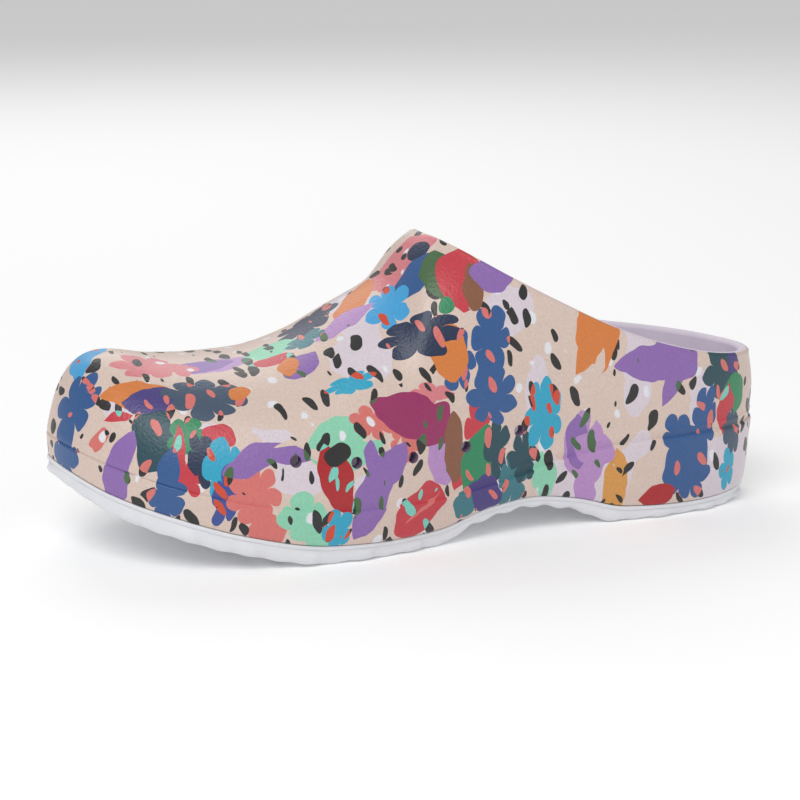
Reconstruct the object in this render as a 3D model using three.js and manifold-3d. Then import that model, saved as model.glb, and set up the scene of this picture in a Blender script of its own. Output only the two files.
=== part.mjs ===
// Slip-on clog for the left foot: a one-piece foam shell on a rubber outsole, with a loose
// two-layer footbed.
// Millimetres. +X points to the heel, -Y to the outer side of the foot, +Z up. The ground is z = 0.
import * as THREE from 'three';
import Module from 'manifold-3d';
import { mergeVertices } from 'three/addons/utils/BufferGeometryUtils.js';

// overall sizes
const soleLength = 270;
const soleWidth = 101; // across the ball of the foot
const upperHeight = 109.4; // ground to the top of the throat

// outsole
const outsoleStep = 0.8; // the shell stands proud of the outsole by this at their joint
const bottomInset = 1.2; // the tread's edge lies this far inside the outline
const treadDepth = 2;
const treadWidth = 2.6;
const treadPitch = 11;
const treadSlant = 0.12; // radians from straight across
const treadStretches = [[-0.84, -0.04], [0.51, 0.93]]; // shares of half the length, clear of the arch
const outsoleBelly = 0.45; // share of the outsole's height where its side is fullest

// shell
const wall = 4.5;
const weltProud = 3.4; // the welt stands this far outside the outsole at the heel
const toeProud = 0.6; // and this far at the toe
const weltStep = 1.1; // the upper sets back from the welt by this
const sideBulge = 2.2; // how far the sides belly out on their way up
const toeLean = 3.5; // and how far the front of the toe leans back
const sideHandle = 0.6; // share of the height over which the sides keep rising steeply
const collarLean = 1.5; // radians: how steeply the sides reach the collar, away from the throat
const collarLeanSpan = [-0.12, 0.4]; // shares of the collar from the throat, as the sides steepen
const squareFrom = 1 / 3; // of the way down the collar the ribs stand square to the outline
const rimCrown = 1.1; // how far the collar's rim rounds over
const sidewallProud = 0.7; // of the welt's overhang, where the sidewall below it is fullest
const sidewallRise = 0.6; // of the way from the outsole's joint to the welt, at that place
const ventDiameter = 4.2;
const ventPitch = 22;
const ventRise = 17; // above the welt
const ventCount = 5;
const firstVent = -61;
const drillLength = 6 * wall; // each vent's drill passes right through the wall

// footbed
const footbedClearance = 1.9; // all round, to the shell's wall
const foamThickness = 6.5;
const coverThickness = 1.2;
const heelCup = 4; // rise of the footbed's edge round the heel
const archRise = 5; // rise of its inner edge under the arch

const seatGap = 0.3; // between pieces that rest on each other

// The outsole's outline, as shares of half its length and half its width, from the heel round the
// outer side to the toe and back along the inner side.
const outlineShares = [
  [1, 0], [0.92, -0.42], [0.71, -0.63], [0.37, -0.67], [0.04, -0.79], [-0.26, -0.99],
  [-0.56, -0.98], [-0.8, -0.75], [-0.95, -0.34], [-1, 0.16], [-0.94, 0.55], [-0.78, 0.87],
  [-0.52, 1.01], [-0.22, 0.91], [0.11, 0.67], [0.44, 0.6], [0.73, 0.61], [0.92, 0.42],
];

// Heights along the sole, as [share of half the length, millimetres].
const groundLine = heightLine([
  [-1, 27.5], [-0.9, 19.3], [-0.75, 11.8], [-0.58, 5.3], [-0.36, 0], [-0.04, 0],
  [0.1, 6], [0.25, 9], [0.38, 6], [0.51, 0], [0.86, 0], [1, 2.6],
]);
const seamLine = heightLine([
  [-1, 33.5], [-0.9, 26.6], [-0.75, 19.6], [-0.58, 12.9], [-0.36, 7.3], [-0.17, 6.3], [-0.04, 6.8],
  [0.12, 12], [0.25, 13.9], [0.39, 11.3], [0.54, 6.2], [0.77, 5], [1, 7],
]);
const weltLine = heightLine([
  [-1, 41.4], [-0.86, 34.6], [-0.67, 27.4], [-0.45, 21.6], [-0.2, 18.8], [-0.08, 18.5],
  [0.04, 19.5], [0.2, 22.9], [0.37, 27.7], [0.55, 30.4], [0.75, 31.2], [1, 31.2],
]);
// thickness of the shell's bottom, between the outsole and the floor that the footbed lies on
const midsoleLine = heightLine([[-1, 6], [-0.5, 8], [-0.1, 9], [0.2, 12], [0.6, 20], [1, 20]]);

// The centre line over the foot, as [share of half the length, share of the upper's height].
const spineLine = heightLine([
  [-0.8, 0.643], [-0.7, 0.62], [-0.6, 0.613], [-0.47, 0.621], [-0.33, 0.674], [-0.22, 0.752],
  [-0.17, 0.785], [-0.12, 0.818], [-0.09, 0.842], [-0.06, 0.885], [-0.03, 0.94], [-0.005, 0.978],
  [0.018, 1],
]);
const throat = 0.018;
const toeCap = -0.8; // where the ribs round the toe meet on the centre line
const toeCapShift = 6; // the centre line there lies towards the inner side

// The collar's edge, as shares of half the length, half the width and the upper's height, from the
// throat down the outer side to the heel and back up the inner side.
const collarShares = [
  [0.018, 0, 1], [0.045, -0.25, 0.988], [0.105, -0.47, 0.946], [0.21, -0.63, 0.867],
  [0.35, -0.7, 0.772], [0.49, -0.71, 0.687], [0.63, -0.7, 0.62], [0.78, -0.67, 0.572],
  [0.925, -0.47, 0.543], [1.015, 0, 0.528],
  [0.925, 0.46, 0.54], [0.79, 0.65, 0.56], [0.64, 0.67, 0.59], [0.5, 0.65, 0.645], [0.36, 0.61, 0.725],
  [0.22, 0.57, 0.83], [0.11, 0.45, 0.925], [0.045, 0.25, 0.985],
];

// ribs on each side of the foot, and steps along each of them
const rearRibs = 17;
const frontRibs = 19;
const ribSteps = 9;
const chordSteps = 3;
const throatShare = 0.5; // of the way round from heel to toe, where the rib to the throat starts

function heightLine(points) {
  // smooth through the points, and level wherever two neighbours are
  const slopes = points.slice(1).map((p, i) => (p[1] - points[i][1]) / (p[0] - points[i][0]));
  const tangents = points.map((p, i) => {
    const before = slopes[Math.max(i - 1, 0)];
    const after = slopes[Math.min(i, slopes.length - 1)];
    return before * after <= 0 ? 0 : (2 * before * after) / (before + after);
  });
  return (share) => {
    const last = points.length - 2;
    const found = points.findIndex((p, i) => i > 0 && share <= p[0]) - 1;
    const i = share >= points[last + 1][0] ? last : Math.max(found, 0);
    const span = points[i + 1][0] - points[i][0];
    const t = THREE.MathUtils.clamp((share - points[i][0]) / span, 0, 1);
    return (
      points[i][1] * (1 + 2 * t) * (1 - t) ** 2 +
      tangents[i] * span * t * (1 - t) ** 2 +
      points[i + 1][1] * t * t * (3 - 2 * t) +
      tangents[i + 1] * span * t * t * (t - 1)
    );
  };
}

const halfLength = soleLength / 2;
const halfWidth = soleWidth / 2;
const groundAt = (x) => groundLine(x / halfLength);
const seamAt = (x) => seamLine(x / halfLength);
const weltAt = (x) => weltLine(x / halfLength);
const floorAt = (x) => seamAt(x) + midsoleLine(x / halfLength);
const toeFade = (x) => THREE.MathUtils.smoothstep(x / halfLength, -0.95, -0.3); // 0 at the toe
// how broad the upper is over the foot: flat over the toes and narrow at the throat
const narrowing = (x) => THREE.MathUtils.smoothstep(x / halfLength, -0.55, -0.05);
const crownAt = (x) => THREE.MathUtils.lerp(0.52, 0.3, narrowing(x));
const proudAt = (x) => THREE.MathUtils.lerp(toeProud, weltProud, toeFade(x));

const outline = new THREE.CatmullRomCurve3(
  outlineShares.map(([x, y]) => new THREE.Vector3(x * halfLength, y * halfWidth, 0)),
  true,
);
const collar = new THREE.CatmullRomCurve3(
  collarShares.map(([x, y, z]) => new THREE.Vector3(x * halfLength, y * halfWidth, z * upperHeight)),
  true,
);

// the share of a loop's length at which its second half of points starts
function halfwayShare(curve) {
  const steps = 1800;
  const lengths = curve.getLengths(steps);
  return lengths[steps / 2] / lengths[steps];
}
const toeShare = halfwayShare(outline);
const heelShare = halfwayShare(collar);

// One rib's place: its foot on the outline, the outward direction there, and its top.
function station(side, k) {
  const rear = k / rearRibs;
  const front = (k - rearRibs) / frontRibs;
  const share = k <= rearRibs ? throatShare * rear : throatShare + (1 - throatShare) * front;
  const along = side < 0 ? share * toeShare : 1 - share * (1 - toeShare);
  const foot = outline.getPointAt(along % 1);
  const tangent = outline.getTangentAt(along % 1);
  const out = new THREE.Vector3(-tangent.y, tangent.x, 0).normalize();
  const top = new THREE.Vector3();
  let handle;
  if (k <= rearRibs) {
    const down = 1 - rear;
    top.copy(collar.getPointAt(side < 0 ? down * heelShare : (1 - down * (1 - heelShare)) % 1));
    // level and straight across at the throat, then steeper and square to the sole's edge
    const lean = THREE.MathUtils.smoothstep(down, ...collarLeanSpan) * collarLean;
    const across = top.clone().sub(foot).setZ(0);
    const square = out.clone().setLength(-across.length() - 1);
    const inward = across.lerp(square, Math.min(1, down / squareFrom)).normalize();
    handle = inward.multiplyScalar(Math.cos(lean)).setZ(Math.sin(lean));
  } else {
    // the ribs crowd together where they round the toe
    const forward = Math.sin((front * Math.PI) / 2);
    const x = THREE.MathUtils.lerp(throat, toeCap, forward);
    const step = 0.005;
    const rise = (spineLine(x + step) - spineLine(x - step)) * upperHeight;
    const slope = rise / (2 * step * halfLength);
    top.set(x * halfLength, toeCapShift * forward, spineLine(x) * upperHeight);
    handle = top.clone().sub(foot).setZ(0).normalize();
    handle.z = handle.x * slope;
  }
  return { foot, out, top, handle };
}

const stations = [];
for (let k = 0; k <= rearRibs + frontRibs; k += 1) stations.push(station(-1, k));
for (let k = rearRibs + frontRibs - 1; k > 0; k -= 1) stations.push(station(1, k));
const count = stations.length;
const opposite = (i) => (count - i) % count;
const onCollar = (i) => i <= rearRibs || i >= count - rearRibs;

// the upper's outer rib, from just above the welt to the centre line or the collar
function outerRib({ foot, out, top, handle }) {
  const setBack = weltStep * toeFade(foot.x);
  const start = foot.clone().addScaledVector(out, proudAt(foot.x) - setBack);
  start.setZ(weltAt(foot.x) + weltStep / 2);
  const rise = top.z - start.z;
  const reach = top.distanceTo(start);
  const bulge = THREE.MathUtils.lerp(-toeLean, sideBulge, toeFade(foot.x));
  const lower = start.clone().addScaledVector(out, bulge);
  lower.z += sideHandle * rise;
  const upper = top.clone().addScaledVector(handle, -crownAt(top.x) * reach);
  return new THREE.CubicBezierCurve3(start, lower, upper, top).getPoints(ribSteps);
}

// A skin of quads between rows of points; each row has one point for each rib. Rows in reverse
// order are split along the same diagonals when fromLast is set.
function skin(rows, fromLast = false) {
  const positions = [];
  const triangle = (a, b, c) => {
    const twiceArea = b.clone().sub(a).cross(c.clone().sub(a)).length();
    if (twiceArea > 1e-6) positions.push(...a.toArray(), ...b.toArray(), ...c.toArray());
  };
  for (let r = 0; r + 1 < rows.length; r += 1) {
    for (let i = 0; i < count; i += 1) {
      const next = (i + 1) % count;
      const [a, b, c, d] = [rows[r][i], rows[r + 1][i], rows[r + 1][next], rows[r][next]];
      triangle(a, b, fromLast ? d : c);
      triangle(fromLast ? b : a, c, d);
    }
  }
  return positions;
}

// Rows across a sole, from its edge to the middle of the chord between the two sides.
function chordRows(edge, heightAt) {
  const rows = [];
  for (let r = 0; r <= chordSteps; r += 1) {
    rows.push(
      edge.map((point, i) => {
        const middle = point.clone().add(edge[opposite(i)]).multiplyScalar(0.5);
        const place = point.clone().lerp(middle, r / chordSteps);
        const across = 1 - r / chordSteps;
        return place.setZ(heightAt(place.x, i > count / 2 ? across : -across));
      }),
    );
  }
  return rows;
}

function closedGeometry(positions) {
  const geometry = new THREE.BufferGeometry();
  geometry.setAttribute('position', new THREE.Float32BufferAttribute(positions, 3));
  return mergeVertices(geometry, 1e-3);
}

const wasm = await Module();
wasm.setup();

function toSolid(geometry) {
  const bare = geometry.clone();
  bare.deleteAttribute('normal');
  bare.deleteAttribute('uv');
  const merged = mergeVertices(bare, 1e-3);
  return new wasm.Manifold(
    new wasm.Mesh({
      numProp: 3,
      vertProperties: new Float32Array(merged.attributes.position.array),
      triVerts: new Uint32Array(merged.index.array),
    }),
  );
}

function toGeometry(solid) {
  const mesh = solid.getMesh();
  const geometry = new THREE.BufferGeometry();
  geometry.setAttribute('position', new THREE.BufferAttribute(mesh.vertProperties, 3));
  geometry.setIndex(new THREE.BufferAttribute(mesh.triVerts, 1));
  return geometry;
}

function cut(geometry, tools) {
  return toGeometry(tools.reduce((body, tool) => body.subtract(toSolid(tool)), toSolid(geometry)));
}

// a row that stands proud of the outsole's outline
function offsetRow(proudOf, heightAt) {
  return stations.map(({ foot, out }) => {
    const point = foot.clone().addScaledVector(out, proudOf(foot.x));
    return point.setZ(heightAt(foot.x));
  });
}

// the row's edge, lowered or raised on to a floor
const onto = (row, heightAt) => row.map((point) => point.clone().setZ(heightAt(point.x)));

const outerRows = (() => {
  const ribs = stations.map(outerRib);
  return Array.from({ length: ribSteps + 1 }, (_, j) => ribs.map((rib) => rib[j]));
})();

// the inner rows lie one wall inside the outer rows
const innerRows = (() => {
  const normals = new Map();
  const key = (p) => p.toArray().join();
  const normalAt = (p) => normals.get(key(p)) ?? new THREE.Vector3();
  const flat = skin(outerRows);
  for (let i = 0; i < flat.length; i += 9) {
    const [a, b, c] = [0, 3, 6].map((j) => new THREE.Vector3().fromArray(flat, i + j));
    const face = b.clone().sub(a).cross(c.clone().sub(a));
    [a, b, c].forEach((p) => normals.set(key(p), normalAt(p).clone().add(face)));
  }
  return outerRows.map((row) =>
    row.map((p) => p.clone().addScaledVector(normalAt(p).clone().normalize(), -wall)),
  );
})();

function shellGeometry() {
  const underside = chordRows(offsetRow((x) => outsoleStep * toeFade(x), seamAt), seamAt);
  const middle = offsetRow(
    (x) => sidewallProud * proudAt(x),
    (x) => THREE.MathUtils.lerp(seamAt(x), weltAt(x), sidewallRise),
  );
  const welt = offsetRow(proudAt, weltAt);
  const rim = outerRows[ribSteps];
  const innerRim = innerRows[ribSteps];
  const crown = rim.map((point, i) => {
    const over = point.clone().add(innerRim[i]).multiplyScalar(0.5);
    const along = point.clone().sub(outerRows[ribSteps - 1][i]).normalize();
    return onCollar(i) ? over.addScaledVector(along, rimCrown) : over;
  });
  const floorEdge = onto(innerRows[0], floorAt);
  const outside = [underside[0], middle, welt, ...outerRows];
  const inside = [...innerRows.slice().reverse(), ...chordRows(floorEdge, floorAt)];
  const positions = [...skin(underside.slice().reverse(), true), ...skin(outside), ...skin(inside)];
  // the rim joins them round the collar only; in front of it the two skins close on the centre line
  const collarRim = (row) => row.map((point, i) => (onCollar(i) ? point : row[rearRibs]));
  positions.push(...skin([collarRim(rim), collarRim(crown), collarRim(innerRim)]));
  return closedGeometry(positions);
}

function ventTools() {
  return Array.from({ length: ventCount }, (_, i) => {
    const x = firstVent + ventPitch * i;
    const near = stations.slice(0, rearRibs + frontRibs).reduce(
      (best, s) => (Math.abs(s.foot.x - x) < Math.abs(best.foot.x - x) ? s : best),
    );
    const radius = ventDiameter / 2;
    const tool = new THREE.CylinderGeometry(radius, radius, drillLength, 16);
    const turn = new THREE.Quaternion().setFromUnitVectors(new THREE.Vector3(0, 1, 0), near.out);
    tool.applyQuaternion(turn);
    const y = near.foot.y + ((x - near.foot.x) * -near.out.x) / near.out.y;
    tool.translate(x, y, weltAt(x) + ventRise);
    return tool;
  });
}

function outsoleGeometry() {
  const top = offsetRow(() => 0, (x) => seamAt(x) - seatGap);
  const bellyAt = (x) => THREE.MathUtils.lerp(groundAt(x), seamAt(x), outsoleBelly);
  const belly = offsetRow(() => 0, bellyAt);
  const bottom = chordRows(offsetRow((x) => -bottomInset * toeFade(x), groundAt), groundAt);
  return closedGeometry([
    ...skin(bottom.slice().reverse(), true),
    ...skin([bottom[0], belly, ...chordRows(top, (x) => seamAt(x) - seatGap)]),
  ]);
}

// grooves across the tread, square to it, in front of the arch and under the heel
function treadTools() {
  const tools = [];
  treadStretches.forEach(([from, to]) => {
    const end = to * halfLength - treadWidth;
    for (let x = from * halfLength + treadPitch; x < end; x += treadPitch) {
      const tool = new THREE.BoxGeometry(treadWidth, 2 * soleWidth, 2 * treadDepth);
      tool.rotateY(-Math.atan(groundAt(x + 0.5) - groundAt(x - 0.5)));
      tool.rotateZ(treadSlant);
      tool.translate(x, 0, groundAt(x));
      tools.push(tool);
    }
  });
  return tools;
}

const foamBottomAt = (x) => floorAt(x) + seatGap;
// across is -1 at the outer edge and 1 at the inner edge
function foamTopAt(x, across) {
  const share = x / halfLength;
  const { smoothstep } = THREE.MathUtils;
  const heel = smoothstep(share, 0.2, 0.7);
  const arch = smoothstep(share, -0.25, 0.15) * (1 - smoothstep(share, 0.35, 0.7));
  const bowl = 1 - (1 - across ** 4) * (1 - smoothstep(share, 0.6, 0.97) ** 2);
  const innerSide = Math.max(across, 0) ** 2;
  return foamBottomAt(x) + foamThickness + heelCup * heel * bowl + archRise * arch * innerSide;
}
const coverBottomAt = (x, across) => foamTopAt(x, across) + seatGap;
const coverTopAt = (x, across) => coverBottomAt(x, across) + coverThickness;

// the footbed's edge, clear of the shell's wall both at its foot and at the cover's height
const footbedEdge = stations.map(({ out }, i) => {
  const foot = innerRows[0][i];
  const height = coverTopAt(foot.x, i > count / 2 ? 1 : -1);
  const row = Math.max(innerRows.findIndex((points) => points[i].z > height), 1);
  const [below, above] = [innerRows[row - 1][i], innerRows[row][i]];
  const beside = below.clone().lerp(above, (height - below.z) / (above.z - below.z));
  const leanIn = Math.max(foot.clone().sub(beside).dot(out), 0);
  return foot.clone().addScaledVector(out, -footbedClearance - leanIn);
});

function layerGeometry(bottomAt, topAt) {
  const bottom = chordRows(footbedEdge, bottomAt);
  const top = chordRows(footbedEdge, topAt);
  return closedGeometry([...skin(bottom.slice().reverse(), true), ...skin([bottom[0], ...top])]);
}

function part(name, geometry, color, roughness) {
  const material = new THREE.MeshStandardMaterial({ color, roughness, metalness: 0 });
  const mesh = new THREE.Mesh(geometry, material);
  mesh.name = name;
  return mesh;
}

const clog = new THREE.Group();
clog.add(
  part('upper_shell', cut(shellGeometry(), ventTools()), 0xd6c4b4, 0.55),
  part('outsole', cut(outsoleGeometry(), treadTools()), 0xd9dadf, 0.6),
  part('footbed_foam', layerGeometry(foamBottomAt, foamTopAt), 0xcfc6d2, 0.8),
  part('footbed_cover', layerGeometry(coverBottomAt, coverTopAt), 0xe3dce6, 0.95),
);

// the origin is on the ground, under the middle of the whole clog
const middle = new THREE.Box3().setFromObject(clog).getCenter(new THREE.Vector3());
clog.position.set(-middle.x, -middle.y, 0);

export default clog;
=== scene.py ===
from bisect import bisect_right
from math import cos, pi, radians, sin, sqrt, tau

import bmesh
import bpy
from mathutils import Matrix, Vector
from mathutils.bvhtree import BVHTree


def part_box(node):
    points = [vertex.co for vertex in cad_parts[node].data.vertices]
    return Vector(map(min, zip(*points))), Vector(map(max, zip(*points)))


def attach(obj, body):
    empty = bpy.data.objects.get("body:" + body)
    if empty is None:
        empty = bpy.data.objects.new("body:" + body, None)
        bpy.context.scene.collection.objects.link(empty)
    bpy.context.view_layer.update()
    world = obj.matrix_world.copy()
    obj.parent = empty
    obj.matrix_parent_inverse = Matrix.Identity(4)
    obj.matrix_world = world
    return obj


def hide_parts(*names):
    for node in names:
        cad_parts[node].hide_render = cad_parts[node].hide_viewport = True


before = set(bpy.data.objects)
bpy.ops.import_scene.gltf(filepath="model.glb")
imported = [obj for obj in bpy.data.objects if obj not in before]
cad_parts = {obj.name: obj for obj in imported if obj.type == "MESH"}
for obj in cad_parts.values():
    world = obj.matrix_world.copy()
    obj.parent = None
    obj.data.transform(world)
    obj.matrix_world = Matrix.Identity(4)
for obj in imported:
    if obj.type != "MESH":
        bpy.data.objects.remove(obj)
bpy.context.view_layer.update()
mm = 0.001


studio = {
    "cameraPlace": (-0.3263, -0.8925, 0.26),
    "cameraAim": (-0.0014, 0.0003, 0.045),
    "lens": 117.9,
    "shift": -0.0137,
    "floorSize": 8.0,
    "worldStrength": 0.47,
}


def linear(hexColour):  # sRGB hex to the linear colour that the nodes hold
    values = [int(hexColour[i:i + 2], 16) / 255 for i in (1, 3, 5)]
    return (*[v / 12.92 if v <= 0.04045 else ((v + 0.055) / 1.055) ** 2.4 for v in values], 1.0)


def node(tree, kind, links=None, values=None, out=0, **settings):
    made = tree.nodes.new("ShaderNode" + kind)
    for name, value in settings.items():
        setattr(made, name, value)
    for socket, value in (values or {}).items():
        made.inputs[socket].default_value = value
    for socket, source in (links or {}).items():
        tree.links.new(source, made.inputs[socket])
    return made.outputs[out]


def newMaterial(name):
    material = bpy.data.materials.new(name)
    material.use_nodes = True
    tree = material.node_tree
    return material, tree, tree.nodes["Principled BSDF"]


def lookAt(thing, place, aim):
    thing.location = place
    thing.rotation_euler = (Vector(aim) - Vector(place)).to_track_quat("-Z", "Y").to_euler()


camera = bpy.data.objects.new("camera", bpy.data.cameras.new("camera"))
bpy.context.scene.collection.objects.link(camera)
bpy.context.scene.camera = camera
camera.data.lens = studio["lens"]
camera.data.shift_x = studio["shift"]
camera.data.clip_start = 0.01
lookAt(camera, studio["cameraPlace"], studio["cameraAim"])

world = bpy.data.worlds.new("studio")
bpy.context.scene.world = world
world.use_nodes = True
world.node_tree.nodes["Background"].inputs["Color"].default_value = linear("#FFFFFF")
world.node_tree.nodes["Background"].inputs["Strength"].default_value = studio["worldStrength"]
bpy.context.scene.view_settings.view_transform = "Standard"

softboxes = {  # place, aim, size in metres, watts
    "key": ((-0.7, -0.9, 1.3), (0, 0, 0.05), 0.9, 12.5),
    "fill": ((1.1, -0.8, 0.8), (0, 0, 0.05), 1.2, 2),
    "back": ((0.1, 1.2, 1.1), (0, 0, 0.05), 1.0, 6),
}
for name, (place, aim, size, watts) in softboxes.items():
    light = bpy.data.objects.new(name, bpy.data.lights.new(name, "AREA"))
    light.data.size = size
    light.data.energy = watts
    bpy.context.scene.collection.objects.link(light)
    lookAt(light, place, aim)

floorMesh = bpy.data.meshes.new("floor")
bm = bmesh.new()
bmesh.ops.create_grid(bm, x_segments=1, y_segments=1, size=studio["floorSize"] / 2)
bm.to_mesh(floorMesh)
bm.free()
floor = bpy.data.objects.new("floor", floorMesh)
bpy.context.scene.collection.objects.link(floor)
floorPaint, tree, shader = newMaterial("paleStudioFloor")
shader.inputs["Base Color"].default_value = linear("#FBFBFB")
shader.inputs["Roughness"].default_value = 0.9
shader.inputs["Emission Color"].default_value = linear("#FFFFFF")
shader.inputs["Emission Strength"].default_value = 0.1
floorMesh.materials.append(floorPaint)
print("stage: camera, floor and light")


# the clog's form, in millimetres and in shares of its half length, half width and upper height
clog = {
    "soleLength": 270,
    "soleWidth": 101,
    "upperHeight": 109.4,
    "wall": 4.5,
    "weltProud": 3.4,  # the welt stands this far outside the outsole at the heel
    "toeProud": 0.6,  # and this far at the toe
    "weltStep": 1.1,  # the upper sets back from the welt by this
    "sideBulge": 2.2,
    "toeLean": 3.5,
    "sideHandle": 0.6,  # share of the height over which the sides keep rising steeply
    "collarLean": 1.5,  # radians: how steeply the sides reach the collar, away from the throat
    "collarLeanSpan": (-0.12, 0.4),  # shares of the collar from the throat, as the sides steepen
    "squareFrom": 1 / 3,  # of the way down the collar the ribs stand square to the outline
    "crown": (0.52, 0.3),  # share of a rib's length, flat over the toes and narrow at the throat
    "outsoleStep": 0.8,
    "outline": [
        (1, 0), (0.92, -0.42), (0.71, -0.63), (0.37, -0.67), (0.04, -0.79), (-0.26, -0.99),
        (-0.56, -0.98), (-0.8, -0.75), (-0.95, -0.34), (-1, 0.16), (-0.94, 0.55), (-0.78, 0.87),
        (-0.52, 1.01), (-0.22, 0.91), (0.11, 0.67), (0.44, 0.6), (0.73, 0.61), (0.92, 0.42),
    ],
    "ground": [
        (-1, 27.5), (-0.9, 19.3), (-0.75, 11.8), (-0.58, 5.3), (-0.36, 0), (-0.04, 0),
        (0.1, 6), (0.25, 9), (0.38, 6), (0.51, 0), (0.86, 0), (1, 2.6),
    ],
    "seam": [
        (-1, 33.5), (-0.9, 26.6), (-0.75, 19.6), (-0.58, 12.9), (-0.36, 7.3), (-0.17, 6.3),
        (-0.04, 6.8), (0.12, 12), (0.25, 13.9), (0.39, 11.3), (0.54, 6.2), (0.77, 5), (1, 7),
    ],
    "welt": [
        (-1, 41.4), (-0.86, 34.6), (-0.67, 27.4), (-0.45, 21.6), (-0.2, 18.8), (-0.08, 18.5),
        (0.04, 19.5), (0.2, 22.9), (0.37, 27.7), (0.55, 30.4), (0.75, 31.2), (1, 31.2),
    ],
    "midsole": [(-1, 6), (-0.5, 8), (-0.1, 9), (0.2, 12), (0.6, 20), (1, 20)],
    "spine": [
        (-0.8, 0.643), (-0.7, 0.62), (-0.6, 0.613), (-0.47, 0.621), (-0.33, 0.674),
        (-0.22, 0.752), (-0.17, 0.785), (-0.12, 0.818), (-0.09, 0.842), (-0.06, 0.885),
        (-0.03, 0.94), (-0.005, 0.978), (0.018, 1),
    ],
    "throat": 0.018,
    "toeCap": -0.8,
    "toeCapShift": 6,
    "collar": [
        (0.018, 0, 1), (0.045, -0.25, 0.988), (0.105, -0.47, 0.946), (0.21, -0.63, 0.867),
        (0.35, -0.7, 0.772), (0.49, -0.71, 0.687), (0.63, -0.7, 0.62), (0.78, -0.67, 0.572),
        (0.925, -0.47, 0.543), (1.015, 0, 0.528), (0.925, 0.46, 0.54), (0.79, 0.65, 0.56),
        (0.64, 0.67, 0.59), (0.5, 0.65, 0.645), (0.36, 0.61, 0.725), (0.22, 0.57, 0.83),
        (0.11, 0.45, 0.925), (0.045, 0.25, 0.985),
    ],
}
halfLength = clog["soleLength"] / 2
halfWidth = clog["soleWidth"] / 2


def lerp(a, b, t):
    return a + (b - a) * t


def smoothstep(x, low, high):
    t = min(max((x - low) / (high - low), 0), 1)
    return t * t * (3 - 2 * t)


def heightLine(points):  # smooth through the points, and level wherever two neighbours are
    slopes = [(b[1] - a[1]) / (b[0] - a[0]) for a, b in zip(points, points[1:])]
    tangents = []
    for i in range(len(points)):
        before, after = slopes[max(i - 1, 0)], slopes[min(i, len(slopes) - 1)]
        tangents.append(0 if before * after <= 0 else 2 * before * after / (before + after))

    def heightAt(x):
        share = x / halfLength
        i = min(max(bisect_right([p[0] for p in points], share) - 1, 0), len(slopes) - 1)
        (x0, y0), (x1, y1) = points[i], points[i + 1]
        t = min(max((share - x0) / (x1 - x0), 0), 1)
        rise = y0 * (1 + 2 * t) * (1 - t) ** 2 + y1 * t * t * (3 - 2 * t)
        return rise + (x1 - x0) * t * (1 - t) * (tangents[i] * (1 - t) - tangents[i + 1] * t)

    return heightAt


groundAt, seamAt, weltAt, midsoleAt, spineAt = (
    heightLine(clog[name]) for name in ("ground", "seam", "welt", "midsole", "spine")
)


def floorAt(x):  # what the footbed lies on
    return seamAt(x) + midsoleAt(x)


def toeFade(x):  # 0 at the toe
    return smoothstep(x / halfLength, -0.95, -0.3)


def crownAt(x):  # how broad the upper is over the foot
    return lerp(*clog["crown"], smoothstep(x / halfLength, -0.55, -0.05))


def proudAt(x):
    return lerp(clog["toeProud"], clog["weltProud"], toeFade(x))


def smoothLoop(points, steps=24):  # a closed curve through the points, read by share of its length
    dense = []
    count = len(points)
    for i in range(count):
        p0, p1, p2, p3 = (points[(i + j - 1) % count] for j in range(4))
        d0, d1, d2 = (sqrt((b - a).length) for a, b in ((p0, p1), (p1, p2), (p2, p3)))
        leave = ((p1 - p0) / d0 - (p2 - p0) / (d0 + d1) + (p2 - p1) / d1) * d1 / 3
        arrive = ((p2 - p1) / d1 - (p3 - p1) / (d1 + d2) + (p3 - p2) / d2) * d1 / 3
        dense += [bezierAt((p1, p1 + leave, p2 - arrive, p2), j / steps) for j in range(steps)]
    lengths = [0]
    for a, b in zip(dense, dense[1:] + dense[:1]):
        lengths.append(lengths[-1] + (b - a).length)

    def placeAt(share):
        wanted = (share % 1) * lengths[-1]
        i = min(bisect_right(lengths, wanted) - 1, len(dense) - 1)
        t = (wanted - lengths[i]) / (lengths[i + 1] - lengths[i])
        return dense[i].lerp(dense[(i + 1) % len(dense)], t)

    halfway = lengths[len(dense) // 2] / lengths[-1]
    return placeAt, halfway, lengths[-1], dense


def bezierAt(points, t):
    while len(points) > 1:
        points = [a.lerp(b, t) for a, b in zip(points, points[1:])]
    return points[0]


outlineAt, toeShare, outlineLength, outlinePoints = smoothLoop(
    [Vector((x * halfLength, y * halfWidth, 0)) for x, y in clog["outline"]]
)
collarAt, heelShare, _, _ = smoothLoop(
    [Vector((x * halfLength, y * halfWidth, z * clog["upperHeight"])) for x, y, z in clog["collar"]]
)
up = Vector((0, 0, 1))


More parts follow.
